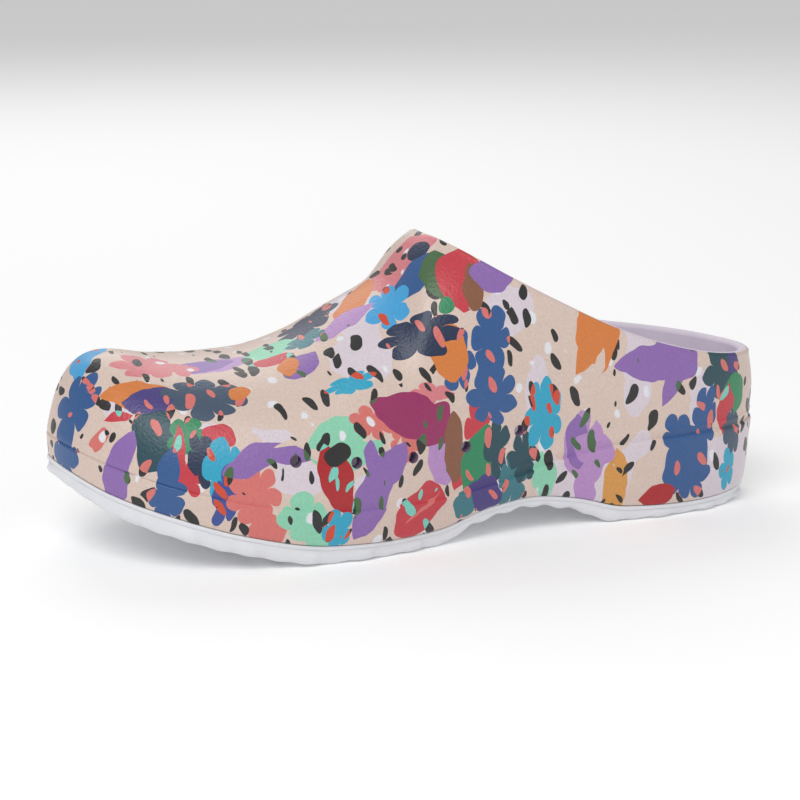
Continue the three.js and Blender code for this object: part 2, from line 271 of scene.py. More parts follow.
def station(side, rear, front):  # a rib's foot on the outline, its outward direction and its top
    share = 0.5 * rear if front == 0 else 0.5 + 0.5 * front
    along = share * toeShare if side < 0 else 1 - share * (1 - toeShare)
    foot = outlineAt(along)
    tangent = outlineAt(along + 0.002) - outlineAt(along - 0.002)
    out = Vector((-tangent.y, tangent.x, 0)).normalized()
    if front == 0:
        down = 1 - rear
        top = collarAt(down * heelShare if side < 0 else 1 - down * (1 - heelShare))
        lean = smoothstep(down, *clog["collarLeanSpan"]) * clog["collarLean"]
        across = (top - foot) * Vector((1, 1, 0))
        square = out * (-across.length - 1)
        inward = across.lerp(square, min(1, down / clog["squareFrom"])).normalized()
        handle = inward * cos(lean) + up * sin(lean)
    else:
        forward = sin(front * pi / 2)
        share = lerp(clog["throat"], clog["toeCap"], forward)
        x = share * halfLength
        step = 0.7
        slope = (spineAt(x + step) - spineAt(x - step)) * clog["upperHeight"] / (2 * step)
        top = Vector((x, clog["toeCapShift"] * forward, spineAt(x) * clog["upperHeight"]))
        handle = ((top - foot) * Vector((1, 1, 0))).normalized()
        handle.z = handle.x * slope
    return {"foot": foot, "out": out, "top": top, "handle": handle, "along": along}


def stationsOf(rearRibs, frontRibs):
    steps = [(k / rearRibs, 0) for k in range(rearRibs + 1)]
    steps += [(1, k / frontRibs) for k in range(1, frontRibs + 1)]
    return [station(-1, *s) for s in steps] + [station(1, *s) for s in reversed(steps[1:-1])]


def ribOf(s):  # the upper's outer rib, from just above the welt to the centre line or the collar
    x = s["foot"].x
    start = s["foot"] + s["out"] * (proudAt(x) - clog["weltStep"] * toeFade(x))
    start.z = weltAt(x) + clog["weltStep"] / 2
    lower = start + s["out"] * lerp(-clog["toeLean"], clog["sideBulge"], toeFade(x))
    lower.z += clog["sideHandle"] * (s["top"].z - start.z)
    upper = s["top"] - s["handle"] * (crownAt(s["top"].x) * (s["top"] - start).length)
    return [start, lower, upper, s["top"]]


cadLow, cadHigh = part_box("outsole")
outlineLow, outlineHigh = min(p.y for p in outlinePoints), max(p.y for p in outlinePoints)
sideways = (cadLow.y + cadHigh.y) / 2 - mm * (outlineLow + outlineHigh) / 2
shift = Vector(((cadLow.x + cadHigh.x) / 2, sideways, 0))


def placed(place):  # from the form's millimetres to the frame
    return place * mm + shift


def firstRow(bm, places):
    verts = bmesh.ops.create_circle(bm, cap_ends=False, segments=len(places), radius=1)["verts"]
    for vert, place in zip(verts, places):
        vert.co = placed(place)
    return verts


def nextRow(bm, row, places):  # extrudes a closed row and sets its new points
    edges = [bm.edges.get((a, b)) for a, b in zip(row, row[1:] + row[:1])]
    old = set(row)
    made = bmesh.ops.extrude_edge_only(bm, edges=edges)["geom"]
    follows = {}
    for vert in (g for g in made if isinstance(g, bmesh.types.BMVert)):
        for edge in vert.link_edges:
            other = edge.other_vert(vert)
            if other in old:
                follows[other] = vert
    fresh = [follows[vert] for vert in row]
    for vert, place in zip(fresh, places):
        vert.co = placed(place)
    return fresh


def chordPlaces(edge, share, heightAt):  # a row across a sole, at a share of the way to its middle
    places = []
    count = len(edge)
    for i, point in enumerate(edge):
        middle = (point + edge[(count - i) % count]) / 2
        place = point.lerp(middle, share)
        across = (1 - share) * (1 if i > count / 2 else -1)
        places.append(Vector((place.x, place.y, heightAt(place.x, across))))
    return places


def newPiece(name, bm, materials, body, node):
    mesh = bpy.data.meshes.new(name)
    bm.to_mesh(mesh)
    bm.free()
    piece = bpy.data.objects.new(name, mesh)
    bpy.context.scene.collection.objects.link(piece)
    for material in materials:
        mesh.materials.append(material)
    mesh.shade_smooth()
    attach(piece, body)
    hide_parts(node)
    return piece


def applyModifiers(piece):
    shown = piece.evaluated_get(bpy.context.evaluated_depsgraph_get())
    mesh = bpy.data.meshes.new_from_object(shown)
    piece.modifiers.clear()
    old = piece.data
    piece.data = mesh
    mesh.name = old.name
    bpy.data.meshes.remove(old)


def cutWith(piece, cutters):  # takes the cutters' bmesh out of the piece
    mesh = bpy.data.meshes.new("cutters")
    cutters.to_mesh(mesh)
    cutters.free()
    tool = bpy.data.objects.new("cutters", mesh)
    bpy.context.scene.collection.objects.link(tool)
    modifier = piece.modifiers.new("cut", "BOOLEAN")
    modifier.object = tool
    modifier.solver = "EXACT"
    applyModifiers(piece)
    bpy.data.objects.remove(tool)


upper = {
    "rearRibs": 34,
    "frontRibs": 38,
    "ribSteps": 22,
    "floorSteps": 6,
    "edgeShare": 0.015,  # a first ring this far in keeps the lower edge crisp
    "sidewall": [  # share of the welt's overhang, share of the way up to the welt
        (0.08, 0.02), (0.3, 0.1), (0.5, 0.3), (0.7, 0.6), (0.9, 0.85), (1, 0.96),
    ],
    "toeCrease": 0.9,  # the least share of the welt's step, round the toe
    "trimLine": 3.2,  # a fine step this far above the welt, from the waist to the heel
    "trimStep": 0.4,
    "rimRound": 1.7,
    "ventDiameter": 4.2,
    "ventPitch": 22,
    "ventRise": 17,
    "ventCount": 5,
    "firstVent": -61,
}


def upperRows(stations):
    def offsetRow(proudOf, heightAt):
        row = []
        for s in stations:
            point = s["foot"] + s["out"] * proudOf(s["foot"].x)
            point.z = heightAt(s["foot"].x)
            row.append(point)
        return row

    rows = [offsetRow(lambda x: clog["outsoleStep"] * toeFade(x), seamAt)]
    for proud, height in upper["sidewall"]:
        rows.append(offsetRow(
            lambda x: lerp(clog["outsoleStep"] * toeFade(x), proudAt(x), proud),
            lambda x: lerp(seamAt(x), weltAt(x), height),
        ))
    rows.append(offsetRow(proudAt, weltAt))
    step = clog["weltStep"]
    rows.append(offsetRow(
        lambda x: proudAt(x) - step * max(toeFade(x), upper["toeCrease"]), lambda x: weltAt(x) + 0.3 * step,
    ))
    firstRib = len(rows)
    ribs = [ribOf(s) for s in stations]
    trims = [(0, 0), (0.9, 1), (1, 1), (1.1, 0)]  # share of the trim line's height, share of its step
    for height, out in trims:
        row = []
        for s, rib in zip(stations, ribs):
            share = height * upper["trimLine"] / (3 * (rib[1] - rib[0]).length)
            rear = smoothstep(s["foot"].x / halfLength, 0.0, 0.3)
            row.append(bezierAt(rib, share) + s["out"] * upper["trimStep"] * out * rear)
        rows.append(row)
    for j in range(1, upper["ribSteps"] + 1):
        row = []
        for rib in ribs:
            first = 1.25 * upper["trimLine"] / (3 * (rib[1] - rib[0]).length)
            row.append(bezierAt(rib, lerp(first, 1, j / upper["ribSteps"])))
        rows.append(row)
    return rows, firstRib


def buildUpper():
    rear = upper["rearRibs"]
    stations = stationsOf(rear, upper["frontRibs"])
    count = len(stations)
    rows, firstRib = upperRows(stations)
    bm = bmesh.new()
    row = firstRow(bm, rows[0])
    underside = row
    ribRows = []
    for j, places in enumerate(rows[1:], 1):
        row = nextRow(bm, row, places)
        if j >= firstRib:
            ribRows.append(row)
    steps = upper["floorSteps"]
    for share in (upper["edgeShare"], *[j / steps for j in range(1, steps + 1)]):
        underside = nextRow(bm, underside, chordPlaces(rows[0], share, lambda x, across: seamAt(x)))
    ribVerts = {v for r in ribRows for v in r}
    ribFaces = [f for f in bm.faces if all(v in ribVerts for v in f.verts)]
    outside = set(bm.faces)
    bmesh.ops.recalc_face_normals(bm, faces=bm.faces[:])
    lowest = min(bm.faces, key=lambda f: f.calc_center_median().z)
    if lowest.normal.z > 0:
        bmesh.ops.reverse_faces(bm, faces=bm.faces[:])
    # the inside of the upper lies one wall in from the outside
    bm.normal_update()
    top = ribRows[-1]
    normals = {v: v.normal.copy() for v in ribVerts}
    for i in range(rear, count // 2):  # the two sides meet on the centre line
        both = (normals[top[i]] + normals[top[count - i]]).normalized()
        normals[top[i]] = normals[top[count - i]] = both
    ribEdges = list({e for f in ribFaces for e in f.edges})
    copied = bmesh.ops.duplicate(bm, geom=list(ribVerts) + ribEdges + ribFaces)
    twins = copied["vert_map"]
    for vert in ribVerts:
        twins[vert].co = vert.co - normals[vert] * clog["wall"] * mm
    bmesh.ops.reverse_faces(bm, faces=[g for g in copied["geom"] if isinstance(g, bmesh.types.BMFace)])
    inner = [[(twins[v].co - shift) / mm for v in r] for r in ribRows]
    floorEdge = [Vector((p.x, p.y, floorAt(p.x))) for p in inner[0]]
    row = nextRow(bm, [twins[v] for v in ribRows[0]], floorEdge)
    for j in range(1, steps + 1):
        row = nextRow(bm, row, chordPlaces(floorEdge, j / steps, lambda x, across: floorAt(x)))
    for face in bm.faces:
        face.material_index = 0 if face in outside else 1
    bmesh.ops.remove_doubles(bm, verts=bm.verts[:], dist=0.02 * mm)
    bmesh.ops.dissolve_degenerate(bm, edges=bm.edges[:], dist=0.01 * mm)
    # the rim joins the two skins round the collar
    rim = [e for e in bm.edges if e.is_boundary]
    for face in bmesh.ops.bridge_loops(bm, edges=rim)["faces"]:
        face.material_index = 1
    bmesh.ops.recalc_face_normals(bm, faces=bm.faces[:])
    bmesh.ops.bevel(
        bm, geom=rim, offset=upper["rimRound"] * mm, offset_type="OFFSET", segments=3,
        profile=0.5, affect="EDGES", material=-1,
    )
    return bm, stations, inner


def nearestStation(stations, x):
    outer = [s for s in stations if s["out"].y < 0]
    return min(outer, key=lambda s: abs(s["foot"].x - x))


def ventPlaces(stations):  # the middle of each vent on the welt's height, and its direction
    places = []
    for i in range(upper["ventCount"]):
        x = upper["firstVent"] + upper["ventPitch"] * i
        near = nearestStation(stations, x)
        y = near["foot"].y - (x - near["foot"].x) * near["out"].x / near["out"].y
        places.append((placed(Vector((x, y, weltAt(x) + upper["ventRise"]))), near["out"]))
    return places


def ventCutters(vents):
    bm = bmesh.new()
    radius = upper["ventDiameter"] / 2 * mm
    for place, out in vents:
        turn = out.to_track_quat("Z", "Y").to_matrix().to_4x4()
        bmesh.ops.create_cone(
            bm, cap_ends=True, segments=24, radius1=radius, radius2=radius,
            depth=6 * clog["wall"] * mm, matrix=Matrix.Translation(place) @ turn,
        )
    return bm


ink = {
    "ground": "#DCC6BA", "lilac": "#DCD0D8", "steel": "#325B92", "navy": "#24324F", "deepTeal": "#274C57",
    "cyan": "#2FA6C7", "sky": "#45A5DC", "purple": "#8F6BB0", "indigo": "#4A3F80", "magenta": "#9A2F63",
    "red": "#C93C48", "crimson": "#B0262B", "green": "#2E8A5E", "pine": "#4A6B45", "mint": "#8FD3B3",
    "aqua": "#7CCFC0", "coral": "#D9756F", "pink": "#D88086", "salmon": "#E39A92", "vermilion": "#D24A2E",
    "orange": "#D9803F", "ochre": "#D99A4E", "brown": "#8A5A42", "black": "#2B2A2A", "white": "#E6E6EC",
    "slate": "#44566B", "mauve": "#B98FC6", "royal": "#3C4F96", "teal": "#3D7A86",
}
# the dabs on each ink: 0 black and white, 1 coral, 2 pine, 3 aqua, 4 vermilion, 5 none
dabsOn = {
    "steel": 1, "navy": 1, "deepTeal": 1, "slate": 1, "teal": 1, "indigo": 1, "royal": 4, "cyan": 4,
    "sky": 4, "purple": 2, "mauve": 2, "magenta": 2, "red": 3, "crimson": 3, "green": 1, "mint": 0,
    "ground": 0, "pink": 0, "coral": 0, "orange": 5, "ochre": 0, "brown": 5, "black": 5, "lilac": 0,
}
# shape, ink, seen from, its middle there in millimetres, half length, half width, turn in degrees
# and, for a flower, its petals
motifs = [
    ("oval", "lilac", "side", (22, 83), 11, 9, 20),
    ("oval", "lilac", "side", (-32, 70), 10, 12, 60),
    ("oval", "lilac", "side", (102, 44), 6, 12, 0),
    ("oval", "lilac", "side", (33, 52), 5, 16, 0),
    ("oval", "lilac", "top", (-118, -22), 6, 5, 0),
    # toe
    ("leaf", "sky", "top", (-122, 8), 17, 6, 55),
    ("flower", "steel", "front", (-8, 54), 15, 9, 85, 7),
    ("flower", "steel", "front", (-8, 37), 9, 8, 90, 4),
    ("flower", "pink", "top", (-104, -8), 13, 9, -8, 6),
    ("leaf", "mauve", "top", (-80, -10), 16, 6, 8),
    ("leaf", "purple", "top", (-84, -10), 13, 5, 10),
    ("flower", "pink", "top", (-92, -12), 6, 4, 0, 4),
    ("leaf", "orange", "top", (-110, -22), 15, 6, -19),
    ("leaf", "indigo", "top", (-105, -26), 12, 6, -12),
    ("block", "deepTeal", "side", (-109, 46), 8, 12.5, 2),
    ("flower", "slate", "top", (-89, -29), 15, 10, -20, 8),
    ("leaf", "orange", "top", (-77, -30), 4, 3, 40),
    ("flower", "green", "side", (-98, 48), 8, 7, 20, 5),
    ("leaf", "red", "side", (-87, 48), 4, 6, 60),
    ("leaf", "red", "side", (-102, 41), 12, 3, 84),
    ("flower", "red", "side", (-100, 35), 5, 8, 20, 4),
    ("flower", "navy", "side", (-94, 40), 5, 10, 5, 5),
    ("flower", "cyan", "side", (-88, 37), 7, 11, -10, 5),
    ("flower", "royal", "side", (-87, 28), 5, 12, -15, 5),
    ("leaf", "purple", "front", (-29, 37), 14, 5, 80),
    ("block", "purple", "side", (-120, 31), 4.5, 7, -6),
    ("block", "coral", "front", (-22, 45), 5, 2.8, 70),
    ("leaf", "red", "front", (-24, 53), 6, 2, 50),
    ("flower", "steel", "side", (-106, 27), 7, 8, 0, 5),
    ("leaf", "steel", "side", (-105, 36), 9, 4, 80),
    ("flower", "coral", "side", (-78, 28), 10, 11, 15, 7),
    ("block", "coral", "side", (-73, 16), 8, 6, -20),
    # outer side, ball to waist
    ("leaf", "purple", "side", (-77, 40), 12, 5, 22),
    ("leaf", "purple", "side", (-66, 41), 11, 3.5, -10),
    ("leaf", "ground", "side", (-62, 45), 8, 1.6, 12),
    ("leaf", "mint", "side", (-44, 43), 14, 10, 8),
    ("leaf", "mint", "side", (-38, 43), 9, 7, 0),
    ("leaf", "ground", "side", (-32, 45), 6, 1.5, 20),
    ("leaf", "ground", "side", (-53, 40), 6, 2, -20),
    ("leaf", "crimson", "side", (-48, 31), 14, 6, 106),
    ("oval", "black", "side", (-47, 40), 5, 4, 20),
    ("flower", "coral", "side", (-33, 49), 9, 6, -20, 6),
    ("flower", "coral", "side", (-20, 41), 7, 7, 20, 5),
    ("flower", "pink", "side", (-9, 57), 9, 4, 0, 5),
    ("leaf", "mauve", "side", (-6, 35), 6, 12, 10),
    ("leaf", "magenta", "side", (-17, 50), 17, 8, -22),
    ("block", "magenta", "side", (-9, 46), 8, 9, 0),
    ("leaf", "purple", "side", (-34, 24), 17, 7, 66),
    ("leaf", "ground", "side", (-24, 37), 7, 1.4, 70),
    ("leaf", "purple", "side", (-27, 33), 11, 5, 50),
    ("leaf", "purple", "side", (-34, 36), 8, 3, 95),
    ("flower", "mint", "side", (-61, 19), 9, 9, 0, 4),
    ("block", "mint", "side", (-55, 12), 6, 5, 0),
    ("flower", "cyan", "side", (-48, 13), 6, 8, 0, 5),
    ("block", "red", "side", (-13, 19), 9, 7, 30),
    ("leaf", "red", "side", (-17, 14), 11, 7, 20),
    ("leaf", "coral", "side", (-14, 17), 9, 0.9, 28),
    ("flower", "red", "side", (9, 43), 6, 10, 0, 5),
    ("leaf", "red", "side", (1, 29), 9, 4, 80),
    ("oval", "brown", "side", (-1, 36), 4, 13, 0),
    ("leaf", "green", "side", (9, 30), 14, 7, 76),
    ("flower", "deepTeal", "side", (17, 34), 5, 11, 0, 5),
    ("flower", "teal", "side", (24, 22), 7, 11, -20, 5),
    ("flower", "deepTeal", "side", (28, 30), 6, 10, 10, 6),
    ("block", "indigo", "side", (12, 18), 7, 8, 20),
    ("block", "teal", "side", (3, 15), 5, 5, 20),
    ("leaf", "mint", "side", (37, 21), 10, 5, 96),
    # throat and vamp
    ("flower", "steel", "side", (1, 68), 7, 12, 0, 6),
    ("flower", "steel", "side", (15, 75), 8, 13, -5, 6),
    ("flower", "steel", "side", (15, 54), 10, 11, 0, 7),
    ("block", "steel", "side", (13, 64), 6, 9, 0),
    ("flower", "cyan", "side", (36, 45), 8, 14, 0, 7),
    ("leaf", "pink", "front", (-6, 98), 17, 10, 72),
    ("flower", "pink", "front", (-7, 94), 9, 9, 0, 5),
    ("oval", "navy", "front", (-12, 103), 5, 4.5, 0),
    ("leaf", "steel", "front", (-20, 96), 13, 7, 80),
    ("leaf", "pine", "side", (0, 97), 11, 7, 85),
    ("leaf", "red", "side", (7, 96), 13, 9, 80),
    ("oval", "brown", "side", (11, 93), 4, 9, -10),
    ("leaf", "purple", "top", (19, -30), 9, 6, -12),
    ("flower", "sky", "top", (-17, -19), 11, 9, 70, 6),
    ("leaf", "orange", "side", (-2, 72), 12, 7, 100),
    ("flower", "navy", "side", (-11, 77), 15, 9, 5, 7),
    ("oval", "green", "side", (0, 87), 3, 3, 0),
    ("leaf", "orange", "top", (-25, -4), 16, 6, 45),
    ("flower", "navy", "top", (-41, 2), 14, 10, 20, 7),
    ("leaf", "mauve", "top", (-33, -14), 13, 5, 10),
    ("leaf", "mint", "top", (-58, -6), 10, 7, 10),
    ("flower", "teal", "top", (-46, -10), 8, 5, 15, 5),
    ("leaf", "red", "top", (-60, -15), 9, 3, 0),
    ("leaf", "purple", "top", (-52, -24), 9, 6, 30),
    ("leaf", "orange", "top", (-56, -22), 6, 4, 70),
    ("flower", "cyan", "side", (-38, 62), 10, 4, 12, 6),
    # heel
    ("leaf", "orange", "side", (58, 75), 14, 9, 88),
    ("leaf", "orange", "side", (54, 67), 11, 4, 62),
    ("leaf", "orange", "side", (60, 66), 9, 3.5, 84),
    ("leaf", "ground", "side", (58, 60), 8, 2, 74),
    ("block", "purple", "side", (90, 60), 11, 8.5, -6),
    ("leaf", "purple", "side", (81, 61), 17, 7, 4),
    ("leaf", "purple", "side", (90, 54), 12, 4, 60),
    ("leaf", "ground", "side", (80, 69), 6, 1.5, 60),
    ("flower", "deepTeal", "side", (111, 54), 10, 11, 10, 5),
    ("block", "indigo", "side", (117, 57), 4, 5, 10),
    ("leaf", "green", "side", (118, 44), 9, 6, 90),
    ("leaf", "red", "side", (114, 39), 10, 4, 80),
    ("flower", "slate", "side", (118, 29), 5, 10, 0, 5),
    ("flower", "cyan", "side", (116, 15), 5, 9, 0, 5),
    ("flower", "steel", "side", (92, 32), 7, 9, 20, 5),
    ("flower", "steel", "side", (104, 38), 6, 12, 0, 6),
    ("block", "steel", "side", (99, 25), 7, 12, 0),
    ("leaf", "steel", "side", (92, 20), 12, 6, 86),
    ("flower", "steel", "side", (99, 15), 8, 9, 0, 6),
    ("leaf", "ochre", "side", (66, 15), 15, 5, 86),
    ("leaf", "crimson", "side", (84, 9), 8, 5, 10),
    ("leaf", "mauve", "side", (53, 30), 15, 9, 100),
    ("leaf", "ground", "side", (57, 43), 6, 1.3, 70),
    ("leaf", "purple", "side", (50, 33), 11, 5, 96),
    ("oval", "mauve", "side", (57, 30), 9, 6, -20),
    ("block", "mauve", "side", (54, 15), 5, 9, 6),
    ("flower", "steel", "back", (-9, 39), 10, 11, 0, 6),
    ("leaf", "red", "back", (-2, 45), 10, 4, 70),
    ("flower", "navy", "back", (5, 30), 9, 7, 0, 5),
    ("leaf", "orange", "back", (12, 44), 11, 5, 60),
    ("flower", "cyan", "back", (-5, 18), 8, 6, 0, 5),
    ("leaf", "mint", "back", (11, 17), 10, 5, 20),
]
printing = {
    "edgeWobble": 2.2,  # millimetres that a motif's cut edge wanders
    "wobbleLength": 9,
    "dabCell": 8.7,
    "dabLength": 3.6,
    "dabWidth": 1.5,
    "paleCell": 10,
    "paleReach": 0.2,  # share of a cell that a pale dab reaches
    "farSide": 18,  # beyond this line the pattern comes back turned round, to cover the inner side
    "farStretch": 1.97,
    "grain": 0.95,  # coarser than the real grain, so that it shows
}
seenFrom = {  # where a ray towards the piece starts and how its two numbers read
    "side": lambda a, b: (Vector((a * mm, -1, b * mm)), Vector((0, 1, 0))),
    "front": lambda a, b: (Vector((-1, a * mm, b * mm)), Vector((1, 0, 0))),
    "back": lambda a, b: (Vector((1, a * mm, b * mm)), Vector((-1, 0, 0))),
    "top": lambda a, b: (Vector((a * mm, b * mm, 1)), Vector((0, 0, -1))),
}


def maskOf(tree, place, shape, middle, axes, halfL, halfW, petals=0):  # 1 inside the shape
    deep = 3 * max(halfL, halfW) * mm

    def localTo(centre, length, width):
        sizes = (length * mm, width * mm, deep)
        return node(
            tree, "Mapping", {0: place}, {1: centre, 2: axes.to_euler(), 3: sizes}, vector_type="TEXTURE",
        )

    def nearness(local):  # 1 in the middle, 0 at the rim and beyond
        return node(tree, "TexGradient", {0: local}, out=1, gradient_type="SPHERICAL")

    if shape == "leaf" and halfL > halfW:  # two arcs that meet in points
        offset = (halfL ** 2 - halfW ** 2) / (2 * halfW)
        sides = []
        for way in (-1, 1):
            centre = middle + axes.col[1] * (way * offset * mm)
            sides.append(nearness(localTo(centre, halfW + offset, halfW + offset)))
        inside = node(tree, "Math", {0: sides[0], 1: sides[1]}, operation="MINIMUM")
        return node(tree, "Math", {0: inside}, {1: 0.0005}, operation="GREATER_THAN")
    local = localTo(middle, halfL, halfW)
    reach = nearness(local)
    if shape in ("oval", "leaf"):
        return node(tree, "Math", {0: reach}, {1: 0.0005}, operation="GREATER_THAN")
    around = node(tree, "TexGradient", {0: local}, out=1, gradient_type="RADIAL")
    lobeCount = 4 if shape == "block" else petals / 2
    turns = node(tree, "Math", {0: around}, {1: tau * lobeCount}, operation="MULTIPLY")
    lobes = node(tree, "Math", {0: turns}, operation="COSINE")
    depth = 0.09  # a block's sides are slightly hollow
    if shape == "flower":  # round petals with narrow slits between them
        lobes = node(tree, "Math", {0: lobes}, operation="ABSOLUTE")
        lobes = node(tree, "Math", {0: lobes}, {1: 0.4}, operation="POWER")
        depth = -0.5
    edge = node(tree, "Math", {0: lobes}, {1: depth, 2: abs(depth)}, operation="MULTIPLY_ADD")
    return node(tree, "Math", {0: reach, 1: edge}, operation="GREATER_THAN")


def printedFoam(surface):
    # closed-cell EVA under a printed film: satin, with flat hand-cut shapes and a fine pressed grain
    material, tree, shader = newMaterial("printedFoam")
    place = node(tree, "TexCoord", out=3)
    wobbleScale = 1 / (printing["wobbleLength"] * mm)
    wobble = node(tree, "TexNoise", {0: place}, {"Scale": wobbleScale, "Detail": 1.0}, out=1)
    wobble = node(tree, "VectorMath", {0: wobble}, {1: (0.5, 0.5, 0.5)}, operation="SUBTRACT")
    size = 2 * printing["edgeWobble"] * mm
    moved = node(tree, "VectorMath", {0: wobble, 2: place}, {1: (size, size, size)}, operation="MULTIPLY_ADD")
    split = tree.nodes.new("ShaderNodeSeparateXYZ")
    tree.links.new(moved, split.inputs[0])
    stretch = printing["farStretch"]
    turned = node(
        tree, "Math", {0: split.outputs[1]}, {1: -stretch, 2: (1 + stretch) * printing["farSide"] * mm},
        operation="MULTIPLY_ADD",
    )
    across = node(tree, "Math", {0: split.outputs[1], 1: turned}, operation="MINIMUM")
    folded = node(tree, "CombineXYZ", {0: split.outputs[0], 1: across, 2: split.outputs[2]})
    folded = node(tree, "Mapping", {0: folded})

    cloud = node(tree, "TexNoise", {0: place}, {"Scale": 24.0, "Detail": 2.0})
    pale = node(tree, "Math", {0: cloud}, {1: 0.6}, operation="GREATER_THAN")
    colour = node(
        tree, "Mix", {0: pale}, {6: linear(ink["ground"]), 7: linear(ink["lilac"])}, out=2, data_type="RGBA",
    )
    dabKind = None
    for shape, inkName, view, (a, b), halfL, halfW, turn, *petals in motifs:
        start, towards = seenFrom[view](a, b)
        hit, normal, _, _ = surface.ray_cast(start, towards)
        if hit is None:
            print("no surface under", shape, inkName, a, b)
            continue
        if normal.dot(towards) > 0:
            normal.negate()
        along = (Vector((1, 0, 0)) - normal * normal.x).normalized()
        if view in ("front", "back"):
            along = (Vector((0, 1, 0)) - normal * normal.y).normalized()
        upwards = normal.cross(along)
        axes = Matrix((along, upwards, normal)).transposed() @ Matrix.Rotation(radians(turn), 3, "Z")
        mask = maskOf(tree, folded, shape, hit, axes, halfL, halfW, *petals)
        colour = node(tree, "Mix", {0: mask, 6: colour}, {7: linear(ink[inkName])}, out=2, data_type="RGBA")
        kind = dabsOn.get(inkName, 5) / 10
        links = {0: mask}
        if dabKind is not None:
            links[2] = dabKind
        dabKind = node(tree, "Mix", links, {2: 0.0, 3: kind} if dabKind is None else {3: kind})

    # short brush dabs, each turned its own way, and soft pale ones strewn over the ground colour
    cell = node(
        tree, "TexVoronoi", {0: moved}, {"Scale": 1 / (printing["dabCell"] * mm), "Randomness": 0.85}, out=2,
    )
    cellNode = cell.node
    offset = node(tree, "VectorMath", {0: moved, 1: cell}, operation="SUBTRACT")
    chance = node(tree, "SeparateColor", {0: cellNode.outputs[1]})
    angle = node(tree, "Math", {0: chance}, {1: 1.6, 2: -0.8}, operation="MULTIPLY_ADD")
    swung = node(
        tree, "VectorRotate", {0: offset, 3: angle}, {2: (0.0, 1.0, 0.0)}, rotation_type="AXIS_ANGLE",
    )
    wideness = 1 / (printing["dabWidth"] * mm)
    longness = 1 / (printing["dabLength"] * mm)
    shaped = node(
        tree, "VectorMath", {0: swung}, {1: (wideness, longness, longness)}, operation="MULTIPLY",
    )
    dab = node(tree, "VectorMath", {0: shaped}, out=1, operation="LENGTH")
    size = node(tree, "MapRange", {0: chance.node.outputs[1]}, {3: 0.7, 4: 1.2})
    dab = node(tree, "Math", {0: dab, 1: size}, operation="LESS_THAN")

    strewn = node(tree, "Mapping", {0: moved}, {1: (0.004, 0.002, 0.005), 3: (1.15, 1.15, 0.8)})
    paleScale = 1 / (printing["paleCell"] * mm)
    paleDab = node(tree, "TexVoronoi", {0: strewn}, {"Scale": paleScale, "Randomness": 1.0})
    paleDab = node(tree, "MapRange", {0: paleDab}, {1: printing["paleReach"], 2: 0.8 * printing["paleReach"]})
    onGround = node(tree, "Math", {0: dabKind}, {1: 0.05}, operation="LESS_THAN")
    paleDab = node(tree, "Math", {0: paleDab, 1: onGround}, operation="MULTIPLY")
    colour = node(tree, "Mix", {0: paleDab, 6: colour}, {7: linear(ink["white"])}, out=2, data_type="RGBA")
    ramp = tree.nodes.new("ShaderNodeValToRGB")
    ramp.color_ramp.interpolation = "CONSTANT"
    steps = ramp.color_ramp.elements
    steps[0].color = linear(ink["black"])
    steps[1].position = 0.05
    steps[1].color = linear(ink["coral"])
    for i, name in enumerate(("pine", "aqua", "vermilion"), 2):
        steps.new(i / 10 - 0.05).color = linear(ink[name])
    tree.links.new(dabKind, ramp.inputs[0])
    dabbed = node(tree, "Math", {0: dabKind}, {1: 0.45}, operation="LESS_THAN")
    dab = node(tree, "Math", {0: dab, 1: dabbed}, operation="MULTIPLY")
    colour = node(tree, "Mix", {0: dab, 6: colour, 7: ramp.outputs[0]}, out=2, data_type="RGBA")

    # the film's fine speckle, and the grain pressed into it
    speckle = node(tree, "TexNoise", {0: place}, {"Scale": 1 / (0.7 * mm), "Detail": 2.0})
    shade = node(tree, "MapRange", {0: speckle}, {1: 0.3, 2: 0.7, 3: 0.88, 4: 1.0})
    colour = node(
        tree, "Mix", {6: colour, 7: shade}, {0: 1.0}, out=2, data_type="RGBA", blend_type="MULTIPLY",
    )
    tree.links.new(colour, shader.inputs["Base Color"])
    grain = node(tree, "TexVoronoi", {0: place}, {"Scale": 1 / (printing["grain"] * mm)}, feature="SMOOTH_F1")
    bump = node(
        tree, "Bump", {"Height": grain}, {"Strength": 0.4, "Distance": 0.3 * mm},
    )
    tree.links.new(bump, shader.inputs["Normal"])
    shader.inputs["Roughness"].default_value = 0.38
    shader.inputs["IOR"].default_value = 1.5
    return material


def bareFoam():
    # moulded EVA inside the upper: matt, chalky and faintly mottled
    material, tree, shader = newMaterial("bareMouldedFoam")
    place = node(tree, "TexCoord", out=3)
    cloud = node(tree, "TexNoise", {0: place}, {"Scale": 60.0, "Detail": 3.0})
    colour = node(
        tree, "Mix", {0: cloud}, {6: linear("#CFC5D3"), 7: linear("#DDD4E0")}, out=2, data_type="RGBA",
    )
    tree.links.new(colour, shader.inputs["Base Color"])
    cells = node(tree, "TexNoise", {0: place}, {"Scale": 1 / (0.8 * mm), "Detail": 2.0})
    bump = node(tree, "Bump", {"Height": cells}, {"Strength": 0.15, "Distance": 0.2 * mm})
    tree.links.new(bump, shader.inputs["Normal"])
    shader.inputs["Roughness"].default_value = 0.75
    return material


def paintedVentShade():
    # the vent walls painted dark plum and dull: painted shade for the dark depth of each hole
    material, tree, shader = newMaterial("paintedVentShade")
    place = node(tree, "TexCoord", out=3)
    cloud = node(tree, "TexNoise", {0: place}, {"Scale": 900.0, "Detail": 1.0})
    colour = node(
        tree, "Mix", {0: cloud}, {6: linear("#6E5878"), 7: linear("#8D7896")}, out=2, data_type="RGBA",
    )
    tree.links.new(colour, shader.inputs["Base Color"])
    shader.inputs["Roughness"].default_value = 0.6
    return material


